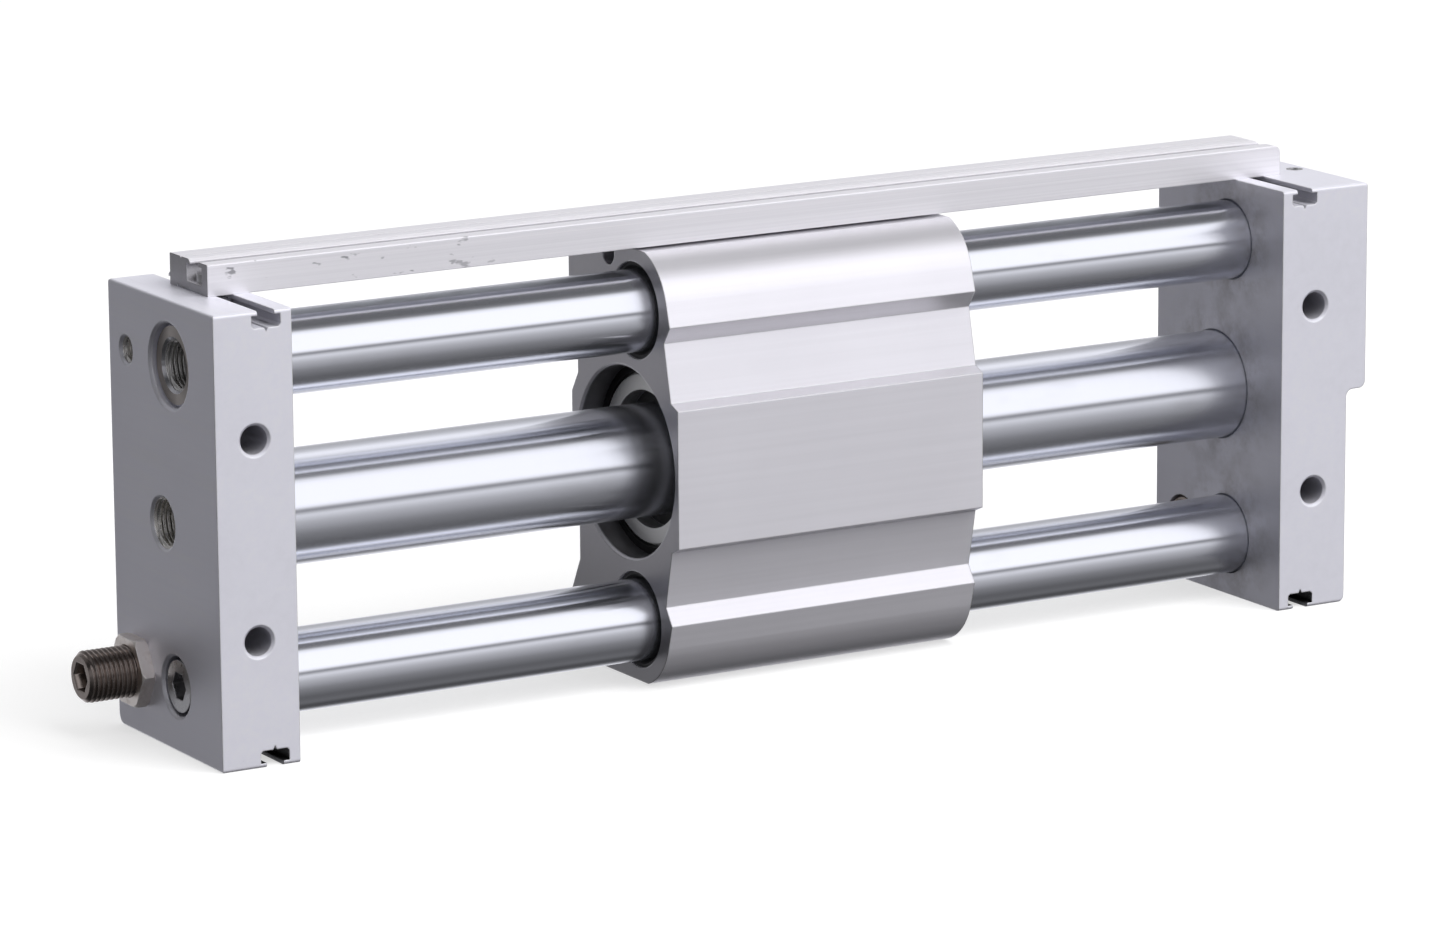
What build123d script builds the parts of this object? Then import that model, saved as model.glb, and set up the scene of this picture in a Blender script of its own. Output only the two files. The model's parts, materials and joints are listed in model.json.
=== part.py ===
from build123d import *
import os
from math import cos, pi, radians, sin, sqrt, tan

# Guided magnetic rodless cylinder, in millimetres.
# X runs along the stroke, Y from the mounting face to the load face, Z up.
# The origin is under the middle of the stroke, on the plane that the end plates stand on.

# Travel
stroke = 150.0
rest_shift = 6.75
stop_reach = 1.2
stop_play = 0.05

# End plates
plate_depth = 44.0
plate_thick = 16.0
return_step = 4.6
return_step_rise = 44.0
return_corner = 1.5
return_crown = 0.7
port_corner = 0.6
foot_corner = 2.4
crown_corner = 0.8

# T-slots in the plates' top and bottom edges
slot_inset = 5.2
slot_neck = 3.5
slot_lip = 0.85
slot_width = 5.9
slot_drop = 2.75
slot_floor = 3.2
slot_notch = 4.0

# Mounting holes through the plates
mount_inset = 8.0
mount_rise = 24.0
mount_hole = 5.5
mount_head_bore = 10.0
mount_head_depth = 5.7
edge_bevel = 0.5

# Guide rods
rod_diameter = 16.0
rod_rise = 12.5
rod_inset = 19.0
rod_bevel = 0.6
hollow_rod_recess = 1.2
hollow_rod_seat = 12.5
hollow_rod_bore = 7.0
solid_rod_seat = 5.0

# Cap screws that hold the solid guide rod
screw_thread = 6.0
screw_grip = 12.0
screw_head = 10.0
screw_head_height = 6.0
screw_socket = 5.0
screw_socket_depth = 3.0
screw_head_bore = 11.5
screw_head_sink = 6.6
screw_slack = 0.3

# Air ports and passages
port_thread = 9.73
port_depth = 7.0
port_bevel = 0.5
port_throat = 7.6
passage_bore = 3.0
passage_inset = 17.2
passage_rise = 49.0
passage_side = 20.6
pocket_bore = 8.0
pocket_floor = 17.0
chamber_bore = 17.2
chamber_depth = 9.0
plug_diameter = 3.5
plug_length = 4.0
plug_socket = 1.5
plug_socket_depth = 2.0
earth_thread = 5.0
earth_depth = 10.0
earth_inset = 7.0

# Cylinder tube
tube_outer = 22.0
tube_wall = 1.0
tube_inset = 23.0
tube_seat = 7.0
joint_relief = 0.25
joint_relief_depth = 1.0

# Static gaskets
gasket_width = 1.8
gasket_thick = 1.2
gasket_inset = 1.6

# Stop bolts, their pads and lock nuts
stop_thread = 10.0
stop_rise = 12.5
stop_inset = 9.2
stop_out = 12.2
stop_bevel = 0.9
stop_socket = 5.0
stop_socket_depth = 5.0
pad_diameter = 6.0
pad_sink = 4.0
pad_proud = 1.0
nut_flats = 12.8
nut_thick = 2.7
nut_bevel = 0.5
running_gap = 0.05

# Slide block section
block_gap = 0.5
pad_wall = 1.65
back_pad_wall = 2.0
pad_half = 13.5
pad_bevel = 1.1
shoulder_drop = 2.6
boss_wall = 3.2
boss_turn = 1.3
boss_lean = 16.0
waist_step = 2.25
waist_rise = 3.3
load_proud = 0.5
load_flat = 13.2
load_slope = 6.4
back_recess = 2.5
back_step_outer = 14.5
back_step_inner = 10.5
load_corner = 0.8
load_pitch_x = 50.0
load_rise = 7.0
load_thread = 5.0
load_depth = 9.0

# Bores of the slide block
coupling_bore = 37.5
coupling_recess = 6.5
bore_wall = 2.25
clip_thick = 1.5
clip_bite = 0.65
clip_width = 2.1
clip_opening = 24.0
clip_turn = 40.0
bush_wall = 1.5
bush_length = 16.0
scraper_sink = 0.6
scraper_length = 3.4
magnet_groove = 4.6
magnet_groove_depth = 4.6
magnet_groove_inset = 28.8

# Magnetic coupling, the same stack inside and outside the tube
magnet_count = 3
magnet_thick = 8.0
yoke_thick = 3.5
air_gap = 0.6
sleeve_wall = 1.55
spacer_length = 4.5
spacer_wall = 3.7
spacer_hub_wall = 3.1
spacer_hub_length = 1.6
wear_ring_length = 4.5
tube_scraper_length = 2.5
inner_magnet = 17.2
inner_yoke = 18.4
shaft_thread = 5.0

# Piston ends
piston_length = 18.0
piston_play = 0.4
seal_width = 2.8
seal_depth = 1.5
seal_inset = 3.0
guide_width = 5.0
guide_depth = 0.9
guide_inset = 9.0
piston_nut_flats = 8.0
piston_nut_thick = 4.0
damper_outer = 15.0
damper_thick = 2.5
damper_slack = 0.4

# Switch magnet
switch_magnet_length = 12.0
switch_magnet_slack = 0.1

# Sensor rail, its screws, nuts and shield
rail_width = 15.7
rail_height = 6.0
rail_inset = 16.8
rail_left_inset = 7.35
rail_right_inset = 5.1
rail_end_corner = 1.5
rail_slot_inset = 5.5
rail_slot_width = 6.3
rail_slot_neck = 3.6
rail_slot_lip = 0.9
rail_slot_depth = 4.3
rail_lip_bevel = 0.5
rail_corner = 0.3
rail_line_step = 0.35
rail_line_inset = 11.3
shield_width = 10.0
shield_thick = 0.5
shield_end_gap = 0.2
rail_screw = 3.0
rail_screw_head = 5.4
rail_screw_head_height = 1.8
rail_screw_socket = 2.0
rail_screw_socket_depth = 1.2
rail_screw_slack = 0.1
rail_nut_side = 5.5
rail_nut_thick = 1.8
rail_nut_end = 0.4

# Places worked out from the driving dimensions
stack_half = (magnet_count * magnet_thick + (magnet_count + 1) * yoke_thick) / 2
sleeve_half = stack_half + wear_ring_length + spacer_length
block_half = sleeve_half + coupling_recess
block_length = 2 * block_half
gap = stroke + block_length + 2 * (stop_reach + stop_play)
bush_outer = rod_diameter + 2 * bush_wall
rod_pitch = coupling_bore + 2 * bore_wall + bush_outer
plate_height = rod_pitch + 2 * rod_rise
load_face = plate_depth + load_proud
front_y = -load_face / 2
back_y = front_y + plate_depth
load_y = front_y + load_face
axis_z = plate_height / 2
rod_y = front_y + rod_inset
upper_rod_z = axis_z + rod_pitch / 2
lower_rod_z = axis_z - rod_pitch / 2
tube_y = front_y + tube_inset
stop_y = back_y - stop_inset
earth_y = back_y - earth_inset
passage_y = front_y + passage_side
rail_y = front_y + rail_inset
rail_slot_y = rail_y + rail_slot_inset
groove_y = front_y + magnet_groove_inset
tube_bore = tube_outer - 2 * tube_wall

PORT = -1
RETURN = 1
SIDES = (PORT, RETURN)


def span_x(x_one, x_two, y, z, shape):
    """Put a shape that was made upright along X, between two places."""
    return Pos((x_one + x_two) / 2, y, z) * Rot(0, 90, 0) * shape


def bar_x(diameter, x_one, x_two, y, z):
    """Round bar along X."""
    return span_x(x_one, x_two, y, z, Cylinder(diameter / 2, abs(x_two - x_one)))


def bar_y(diameter, y_one, y_two, x, z):
    """Round bar along Y."""
    return Pos(x, (y_one + y_two) / 2, z) * Rot(90, 0, 0) * Cylinder(diameter / 2, abs(y_two - y_one))


def bar_z(diameter, z_one, z_two, x, y):
    """Round bar along Z."""
    return Pos(x, y, (z_one + z_two) / 2) * Cylinder(diameter / 2, abs(z_two - z_one))


def ring_x(outer, inner, x_one, x_two, y, z):
    """Plain ring along X, given by its two diameters."""
    return bar_x(outer, x_one, x_two, y, z) - bar_x(inner, x_one, x_two, y, z)


def turned(profile, y, z):
    """Body of revolution about a line along X, from corners (x, radius)."""
    face = make_face(Polyline(*profile, close=True))
    return Pos(0, y, z) * revolve(face, Axis.X, 360)


def outline(corners):
    """Flat face from corners (across, up, radius), each rounded by its radius."""
    face = make_face(Polyline(*[(across, up) for across, up, radius in corners], close=True))
    for across, up, radius in corners:
        if radius > 0:
            corner = face.vertices().sort_by_distance((across, up, 0))[0]
            face = fillet(corner, radius)
    return face


def along_x(face, x_low, x_high):
    """Extrude a face drawn in (y, z) along X."""
    return Pos(x_low, 0, 0) * (Plane.YZ * extrude(face, x_high - x_low))


def along_y(face, y_low, y_high):
    """Extrude a face drawn in (x, z) along Y."""
    return Pos(0, y_high, 0) * (Plane.XZ * extrude(face, y_high - y_low))


def hex_bar_x(flats, x_one, x_two, y, z):
    """Hexagonal bar along X with two corners in the XY plane."""
    face = RegularPolygon(flats / 2, 6, major_radius=False)
    return Pos(min(x_one, x_two), y, z) * (Plane.YZ * extrude(face, abs(x_two - x_one)))


def bevel_x(diameter, bevel, x_mouth, inward, y, z):
    """Cone that breaks the edge of a hole along X, inward being the sign of the way in."""
    big = diameter / 2 + bevel
    small = diameter / 2
    x_end = x_mouth + inward * bevel
    return turned([(x_mouth, 0), (x_mouth, big), (x_end, small), (x_end, 0)], y, z)


def bevel_y(diameter, bevel, y_mouth, inward, x, z):
    """Cone that breaks the edge of a hole along Y."""
    cone = Cone(diameter / 2, diameter / 2 + bevel, bevel)
    return Pos(x, y_mouth + inward * bevel / 2, z) * Rot(90 * inward, 0, 0) * cone


def plate_x(side, depth):
    """Place along X at a depth outward from a plate's inner face."""
    return side * (gap / 2 + depth)


def block_x(side, inset):
    """Place along X at an inset from one end face of the slide block at rest."""
    return rest_shift + side * (block_half - inset)


def slot_cut(side, z_face, inward):
    """T-slot with a notched floor, along Y, in the edge of an end plate."""
    half = [
        (slot_neck / 2, 0),
        (slot_neck / 2, slot_lip),
        (slot_width / 2, slot_lip),
        (slot_width / 2, slot_drop),
        (slot_width / 2 - (slot_floor - slot_drop), slot_floor),
        ((slot_notch - slot_floor) / 2, slot_floor),
        (0, slot_notch),
    ]
    corners = half + [(-across, depth) for across, depth in reversed(half[:-1])]
    centre = plate_x(side, slot_inset)
    points = [(centre + across, z_face + inward * depth) for across, depth in corners]
    face = make_face(Polyline(*points, close=True))
    return along_y(face, front_y, back_y)


def plate_blank(side, corners):
    """End plate bar: its profile along Y, trimmed to its outline along X."""
    points = [(plate_x(side, depth), z, radius) for depth, z, radius in corners]
    profile = along_y(outline(points), front_y, back_y)
    reach = max(depth for depth, z, radius in corners)
    trim = outline([
        (front_y, 0, port_corner),
        (back_y, 0, foot_corner),
        (back_y, plate_height, crown_corner),
        (front_y, plate_height, port_corner),
    ])
    x_ends = sorted([plate_x(side, 0), plate_x(side, reach)])
    return profile & along_x(trim, x_ends[0], x_ends[1])


def plate_common_cuts(side):
    """Cuts that both end plates share."""
    inner = plate_x(side, 0)
    outer = plate_x(side, plate_thick)
    x_mount = plate_x(side, mount_inset)
    cuts = [slot_cut(side, plate_height, -1), slot_cut(side, 0, 1)]
    for z in (mount_rise, plate_height - mount_rise):
        cuts.append(bar_y(mount_hole, front_y, back_y, x_mount, z))
        cuts.append(bevel_y(mount_hole, edge_bevel, front_y, 1, x_mount, z))
        cuts.append(bar_y(mount_head_bore, back_y - mount_head_depth, back_y, x_mount, z))
    cuts.append(bar_x(tube_outer, inner, plate_x(side, tube_seat), tube_y, axis_z))
    cuts.append(bar_x(chamber_bore, inner, plate_x(side, chamber_depth), tube_y, axis_z))
    cuts.append(gasket_ring(side, tube_outer, tube_y, axis_z))
    cuts.append(gasket_ring(side, rod_diameter, rod_y, upper_rod_z))
    joints = [(tube_outer, tube_y, axis_z)]
    joints += [(rod_diameter, rod_y, z) for z in (upper_rod_z, lower_rod_z)]
    for diameter, y, z in joints:
        cuts.append(bar_x(diameter + 2 * joint_relief, inner, plate_x(side, joint_relief_depth), y, z))
    cuts.append(bar_x(rod_diameter, inner, plate_x(side, solid_rod_seat), rod_y, lower_rod_z))
    cuts.append(bar_x(screw_thread + 2 * screw_slack, inner, outer, rod_y, lower_rod_z))
    head_seat = plate_x(side, plate_thick - screw_head_sink)
    cuts.append(bar_x(screw_head_bore, outer, head_seat, rod_y, lower_rod_z))
    cuts.append(bevel_x(screw_head_bore, edge_bevel, outer, -side, rod_y, lower_rod_z))
    cuts.append(bar_x(stop_thread + 2 * running_gap, inner, outer, stop_y, stop_rise))
    return cuts


def gasket_ring(side, inner_diameter, y, z):
    """O-ring squeezed square in its groove, round a tube or rod in a plate."""
    low = plate_x(side, gasket_inset)
    high = plate_x(side, gasket_inset + gasket_width)
    return ring_x(inner_diameter + 2 * gasket_thick, inner_diameter, low, high, y, z)


def port_plate():
    """End plate that carries both air ports."""
    outer = plate_x(PORT, plate_thick)
    blank = plate_blank(PORT, [
        (0, 0, 0),
        (plate_thick, 0, port_corner),
        (plate_thick, plate_height, port_corner),
        (0, plate_height, 0),
    ])
    cuts = plate_common_cuts(PORT)
    cuts.append(bar_x(rod_diameter, plate_x(PORT, 0), outer, rod_y, upper_rod_z))
    cuts.append(bevel_x(rod_diameter, edge_bevel, outer, 1, rod_y, upper_rod_z))
    cuts.append(bar_x(port_throat, plate_x(PORT, 0), outer, tube_y, axis_z))
    cuts.append(bar_x(port_thread, outer, outer + port_depth, tube_y, axis_z))
    cuts.append(bevel_x(port_thread, port_bevel, outer, 1, tube_y, axis_z))
    cuts.append(bar_x(earth_thread, outer, outer + earth_depth, earth_y, upper_rod_z))
    cuts.append(bevel_x(earth_thread, edge_bevel, outer, 1, earth_y, upper_rod_z))
    return blank - cuts


def return_plate():
    """Stepped end plate with the passage from the hollow rod to the tube."""
    thick = plate_thick + return_step
    blank = plate_blank(RETURN, [
        (0, 0, 0),
        (plate_thick, 0, return_corner),
        (plate_thick, return_step_rise, return_corner),
        (thick, return_step_rise, return_corner),
        (thick, plate_height, return_crown),
        (0, plate_height, 0),
    ])
    inner = plate_x(RETURN, 0)
    x_passage = plate_x(RETURN, passage_inset)
    cuts = plate_common_cuts(RETURN)
    cuts.append(bar_x(rod_diameter, inner, plate_x(RETURN, hollow_rod_seat), rod_y, upper_rod_z))
    cuts.append(bar_x(pocket_bore, inner, plate_x(RETURN, pocket_floor), rod_y, upper_rod_z))
    cuts.append(bar_z(passage_bore, passage_rise - passage_bore, plate_height, x_passage, passage_y))
    cuts.append(bar_x(passage_bore, inner, x_passage, passage_y, passage_rise))
    cuts.append(bar_z(plug_diameter, plate_height - plug_length, plate_height, x_passage, passage_y))
    return blank - cuts


def passage_plug():
    """Socket plug that closes the top of the drilled passage."""
    x = plate_x(RETURN, passage_inset)
    plug = bar_z(plug_diameter, plate_height - plug_length, plate_height, x, passage_y)
    socket = extrude(RegularPolygon(plug_socket / 2, 6, major_radius=False), plug_socket_depth)
    return plug - Pos(x, passage_y, plate_height - plug_socket_depth) * socket


def cylinder_tube():
    """Thin non-magnetic tube, held between the seats of the two plates."""
    return ring_x(tube_outer, tube_bore, plate_x(PORT, tube_seat), plate_x(RETURN, tube_seat), tube_y, axis_z)


def hollow_guide_rod():
    """Upper guide rod, an air pipe with a port thread in its left end."""
    x_left = plate_x(PORT, plate_thick - hollow_rod_recess)
    x_right = plate_x(RETURN, hollow_rod_seat)
    radius = rod_diameter / 2
    bar = turned([
        (x_left, 0),
        (x_left, radius - rod_bevel),
        (x_left + rod_bevel, radius),
        (x_right - rod_bevel, radius),
        (x_right, radius - rod_bevel),
        (x_right, 0),
    ], rod_y, upper_rod_z)
    bore = bar_x(hollow_rod_bore, x_left, x_right, rod_y, upper_rod_z)
    port = bar_x(port_thread, x_left, x_left + port_depth, rod_y, upper_rod_z)
    mouth = bevel_x(port_thread, port_bevel, x_left, 1, rod_y, upper_rod_z)
    return bar - [bore, port, mouth]


def solid_guide_rod():
    """Lower guide rod, tapped at both ends for its cap screws."""
    x_end = plate_x(RETURN, solid_rod_seat)
    radius = rod_diameter / 2
    bar = turned([
        (-x_end, 0),
        (-x_end, radius - rod_bevel),
        (-x_end + rod_bevel, radius),
        (x_end - rod_bevel, radius),
        (x_end, radius - rod_bevel),
        (x_end, 0),
    ], rod_y, lower_rod_z)
    holes = [
        bar_x(screw_thread, side * x_end, side * (x_end - screw_grip), rod_y, lower_rod_z) for side in SIDES
    ]
    return bar - holes


def rod_screws():
    """Socket head cap screws that clamp the solid guide rod between the plates."""
    screws = []
    for side in SIDES:
        seat = plate_x(side, plate_thick - screw_head_sink)
        tip = plate_x(side, solid_rod_seat - screw_grip)
        top = seat + side * screw_head_height
        head = bar_x(screw_head, seat, top, rod_y, lower_rod_z)
        shank = bar_x(screw_thread, tip, seat, rod_y, lower_rod_z)
        socket = hex_bar_x(screw_socket, top - side * screw_socket_depth, top, rod_y, lower_rod_z)
        screws.append(head + shank - socket)
    return Compound(screws)


def tube_gaskets():
    """O-rings round the tube's ends."""
    return Compound([gasket_ring(side, tube_outer, tube_y, axis_z) for side in SIDES])


def rod_gaskets():
    """O-rings round the hollow rod's ends."""
    return Compound([gasket_ring(side, rod_diameter, rod_y, upper_rod_z) for side in SIDES])


def stop_bolt(side):
    """Headless adjusting bolt with a socket outside and a pad recess inside."""
    radius = stop_thread / 2
    nose = plate_x(side, pad_proud - stop_reach)
    tail = plate_x(side, plate_thick + stop_out)
    bolt = turned([
        (nose, 0),
        (nose, radius - stop_bevel),
        (nose + side * stop_bevel, radius),
        (tail - side * stop_bevel, radius),
        (tail, radius - stop_bevel),
        (tail, 0),
    ], stop_y, stop_rise)
    socket = hex_bar_x(stop_socket, tail - side * stop_socket_depth, tail, stop_y, stop_rise)
    recess = bar_x(pad_diameter + 2 * running_gap, nose, nose + side * pad_sink, stop_y, stop_rise)
    return bolt - [socket, recess]


def stop_pad(side):
    """Urethane pad in the nose of a stop bolt."""
    face = plate_x(side, -stop_reach)
    back = plate_x(side, pad_proud - stop_reach + pad_sink)
    return bar_x(pad_diameter, face, back, stop_y, stop_rise)


def lock_nuts():
    """Thin lock nuts against the plates' outer faces."""
    nuts = []
    corner = nut_flats / 2 / cos(pi / 6)
    for side in SIDES:
        seat = plate_x(side, plate_thick)
        top = seat + side * nut_thick
        bevelled = turned([
            (seat, 0),
            (seat, corner - nut_bevel),
            (seat + side * nut_bevel, corner),
            (top - side * nut_bevel, corner),
            (top, corner - nut_bevel),
            (top, 0),
        ], stop_y, stop_rise)
        nut = hex_bar_x(nut_flats, seat, top, stop_y, stop_rise) & bevelled
        nuts.append(nut - bar_x(stop_thread + 2 * running_gap, seat, top, stop_y, stop_rise))
    return Compound(nuts)


def block_section():
    """Extruded section of the slide block, its upper half mirrored below the tube axis."""
    rise = axis_z - block_gap
    rod_up = rod_pitch / 2
    boss = bush_outer / 2 + boss_wall
    lean = radians(boss_lean)
    middle = radians(45)
    boss_end = rod_up - boss_turn
    front_pad = tube_y - coupling_bore / 2 - pad_wall
    back_pad = tube_y + coupling_bore / 2 + back_pad_wall
    boss_end_y = rod_y - boss * cos(lean) - (boss * sin(lean) + boss_turn) * tan(lean)
    boss_top_y = rod_y - sqrt(boss ** 2 - (rise - rod_up) ** 2)
    boss_low = (rod_y - boss * cos(lean), rod_up + boss * sin(lean))
    boss_mid = (rod_y - boss * cos(middle), rod_up + boss * sin(middle))
    recess_y = back_pad - back_recess
    front = Polyline(
        (front_pad, 0),
        (front_pad, pad_half),
        (front_pad + shoulder_drop, pad_half + pad_bevel),
        (boss_end_y + waist_step, boss_end - waist_rise),
        (boss_end_y, boss_end),
        boss_low,
    )
    boss_arc = ThreePointArc(boss_low, boss_mid, (boss_top_y, rise))
    back = Polyline(
        (boss_top_y, rise),
        (load_y - load_corner, rise),
        (load_y, rise - load_corner),
        (load_y, rise - load_flat),
        (recess_y, rise - load_flat - load_slope),
        (recess_y, back_step_outer),
        (back_pad, back_step_inner),
        (back_pad, 0),
    )
    upper = front + boss_arc + back
    face = make_face(upper + mirror(upper, about=Plane.XZ))
    return Pos(0, axis_z) * face


def clip_groove(side, diameter):
    """Disc in the place of one retaining ring of the coupling bore."""
    near = block_x(side, coupling_recess - clip_thick)
    return bar_x(diameter, near, block_x(side, coupling_recess), tube_y, axis_z)


def slide_block():
    """Extruded slide block, bored for the coupling and the guide rods."""
    left = block_x(PORT, 0)
    right = block_x(RETURN, 0)
    top = plate_height - block_gap
    block = along_x(block_section(), left, right)
    cuts = [bar_x(coupling_bore, left, right, tube_y, axis_z)]
    for side in SIDES:
        cuts.append(clip_groove(side, coupling_bore + 2 * clip_bite))
        cuts.append(bevel_x(coupling_bore, edge_bevel, block_x(side, 0), -side, tube_y, axis_z))
    for z in (lower_rod_z, upper_rod_z):
        cuts.append(bar_x(bush_outer, left, right, rod_y, z))
    groove_radius = magnet_groove / 2
    groove_floor = top - magnet_groove_depth + groove_radius
    cuts.append(bar_x(magnet_groove, left, right, groove_y, groove_floor))
    cuts.append(Pos((left + right) / 2, groove_y, (groove_floor + top) / 2) * Box(
        block_length, magnet_groove, top - groove_floor))
    for x in (-load_pitch_x / 2, load_pitch_x / 2):
        for z in (load_rise, plate_height - load_rise):
            cuts.append(bar_y(load_thread, load_y - load_depth, load_y, rest_shift + x, z))
    return block - cuts


def coupling_sleeve():
    """Tube that holds the outer magnet stack in the block's bore."""
    low = rest_shift - sleeve_half
    high = rest_shift + sleeve_half
    return ring_x(coupling_bore, coupling_bore - 2 * sleeve_wall, low, high, tube_y, axis_z)


def retaining_rings():
    """Open spring rings that lock the sleeve in the block's bore."""
    rings = []
    for side in SIDES:
        ring = clip_groove(side, coupling_bore + 2 * clip_bite)
        ring -= clip_groove(side, coupling_bore + 2 * clip_bite - 2 * clip_width)
        near = block_x(side, coupling_recess - clip_thick)
        far = block_x(side, coupling_recess)
        reach = coupling_bore / 2 + clip_bite
        half_turn = radians(clip_opening / 2)
        wedge = make_face(Polyline(
            (0, 0),
            (2 * reach * cos(half_turn), -2 * reach * sin(half_turn)),
            (2 * reach * cos(half_turn), 2 * reach * sin(half_turn)),
            close=True,
        ))
        opening = along_x(Rot(0, 0, 180 - clip_turn) * wedge, min(near, far), max(near, far))
        rings.append(ring - Pos(0, tube_y, axis_z) * opening)
    return Compound(rings)


def stack_slice(start, thick, outer, inner):
    """One ring of a magnet stack, start being its place from the stack's left end."""
    low = rest_shift - stack_half + start
    return ring_x(outer, inner, low, low + thick, tube_y, axis_z)


def magnet_stack(outer, inner):
    """Magnets of a stack, between the yokes."""
    pitch = magnet_thick + yoke_thick
    return Compound([
        stack_slice(yoke_thick + index * pitch, magnet_thick, outer, inner) for index in range(magnet_count)
    ])


def yoke_stack(outer, inner):
    """Yokes of a stack, one on each side of every magnet."""
    pitch = magnet_thick + yoke_thick
    return Compound([
        stack_slice(index * pitch, yoke_thick, outer, inner) for index in range(magnet_count + 1)
    ])


def slider_magnets():
    """Outer magnets, clear of the tube."""
    return magnet_stack(coupling_bore - 2 * sleeve_wall, tube_outer + 4 * air_gap)


def slider_yokes():
    """Outer yokes, nearer to the tube than the magnets."""
    return yoke_stack(coupling_bore - 2 * sleeve_wall, tube_outer + 2 * air_gap)


def slider_ring(side, near, far, outer, inner):
    """Ring of the outer slider, its ends given from the sleeve's end on one side."""
    x_end = block_x(side, coupling_recess)
    return ring_x(outer, inner, x_end - side * near, x_end - side * far, tube_y, axis_z)


def end_spacers():
    """Collars that close the sleeve and hold the tube scrapers, each with a hub inside its retaining ring."""
    outer = coupling_bore - 2 * sleeve_wall
    bore = outer - 2 * spacer_wall
    hub = bore + 2 * spacer_hub_wall
    return Compound([
        slider_ring(side, 0, spacer_length, outer, bore) + slider_ring(side, -spacer_hub_length, 0, hub, bore)
        for side in SIDES
    ])


def tube_scrapers():
    """Lip seals that wipe the tube, seated in the spacers."""
    seat = coupling_bore - 2 * sleeve_wall - 2 * spacer_wall
    start = spacer_length - tube_scraper_length
    scrapers = []
    for side in SIDES:
        x_out = block_x(side, coupling_recess + start)
        x_in = block_x(side, coupling_recess + spacer_length)
        lip = tube_outer / 2 + running_gap
        heel = lip + (seat / 2 - lip) / 2
        scrapers.append(turned([
            (x_out, heel),
            (x_out, lip),
            (x_out - side * tube_scraper_length / 4, lip),
            (x_in, heel),
            (x_in, seat / 2),
            (x_out, seat / 2),
        ], tube_y, axis_z))
    return Compound(scrapers)


def slider_wear_rings():
    """Resin rings that guide the outer slider on the tube."""
    outer = coupling_bore - 2 * sleeve_wall
    far = spacer_length + wear_ring_length
    return Compound([
        slider_ring(side, spacer_length, far, outer, tube_outer + 2 * running_gap) for side in SIDES
    ])


def rod_bushes():
    """Slide bearings, one behind each rod scraper."""
    start = scraper_sink + scraper_length
    bushes = []
    for side in SIDES:
        for z in (lower_rod_z, upper_rod_z):
            near = block_x(side, start)
            far = block_x(side, start + bush_length)
            bushes.append(ring_x(bush_outer, rod_diameter + 2 * running_gap, near, far, rod_y, z))
    return Compound(bushes)


def rod_scrapers():
    """Lip seals that wipe the guide rods, just inside the block's end faces."""
    seat = bush_outer / 2
    lip = rod_diameter / 2 + running_gap
    heel = (seat + lip) / 2
    scrapers = []
    for side in SIDES:
        for z in (lower_rod_z, upper_rod_z):
            x_out = block_x(side, scraper_sink)
            x_in = block_x(side, scraper_sink + scraper_length)
            scrapers.append(turned([
                (x_out, heel),
                (x_out - side * scraper_length / 3, lip),
                (x_out - side * scraper_length / 2, lip),
                (x_in, heel),
                (x_in, seat),
                (x_out, seat),
            ], rod_y, z))
    return Compound(scrapers)


def switch_magnet():
    """Round bar magnet in the block's top groove, read by switches on the rail."""
    diameter = magnet_groove - 2 * switch_magnet_slack
    z = plate_height - block_gap - magnet_groove_depth + magnet_groove / 2
    half = switch_magnet_length / 2
    return bar_x(diameter, rest_shift - half, rest_shift + half, groove_y, z)


def piston_shaft():
    """Threaded shaft through the inner stack."""
    reach = stack_half + piston_length + piston_nut_thick
    return bar_x(shaft_thread, rest_shift - reach, rest_shift + reach, tube_y, axis_z)


def piston_groove(side, inset, width, depth):
    """Ring in the place of a groove near a piston's outer end."""
    end = rest_shift + side * (stack_half + piston_length)
    low = end - side * inset
    body = tube_bore - 2 * piston_play
    return ring_x(body, body - 2 * depth, low, low - side * width, tube_y, axis_z)


def pistons():
    """Pistons on both ends of the inner stack, grooved for a seal and a guide ring."""
    bodies = []
    for side in SIDES:
        low = rest_shift + side * stack_half
        high = low + side * piston_length
        body = ring_x(tube_bore - 2 * piston_play, shaft_thread, low, high, tube_y, axis_z)
        body -= piston_groove(side, seal_inset, seal_width, seal_depth)
        body -= piston_groove(side, guide_inset, guide_width, guide_depth)
        bodies.append(body)
    return Compound(bodies)


def piston_ring(side, inset, width, depth):
    """Ring that fills a piston groove and runs in the tube."""
    end = rest_shift + side * (stack_half + piston_length)
    low = end - side * inset
    root = tube_bore - 2 * piston_play - 2 * depth
    return ring_x(tube_bore - 2 * running_gap, root, low, low - side * width, tube_y, axis_z)


def piston_seals():
    """Seals of the two pistons."""
    return Compound([piston_ring(side, seal_inset, seal_width, seal_depth) for side in SIDES])


def piston_guide_rings():
    """Wear rings of the two pistons."""
    return Compound([piston_ring(side, guide_inset, guide_width, guide_depth) for side in SIDES])


def piston_nuts():
    """Nuts that clamp the inner stack on its shaft."""
    nuts = []
    for side in SIDES:
        seat = rest_shift + side * (stack_half + piston_length)
        top = seat + side * piston_nut_thick
        nut = hex_bar_x(piston_nut_flats, seat, top, tube_y, axis_z)
        nuts.append(nut - bar_x(shaft_thread, seat, top, tube_y, axis_z))
    return Compound(nuts)


def end_dampers():
    """Urethane rings on the pistons' outer faces."""
    hole = piston_nut_flats / cos(pi / 6) + 2 * damper_slack
    dampers = []
    for side in SIDES:
        seat = rest_shift + side * (stack_half + piston_length)
        dampers.append(ring_x(damper_outer, hole, seat, seat + side * damper_thick, tube_y, axis_z))
    return Compound(dampers)


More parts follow.
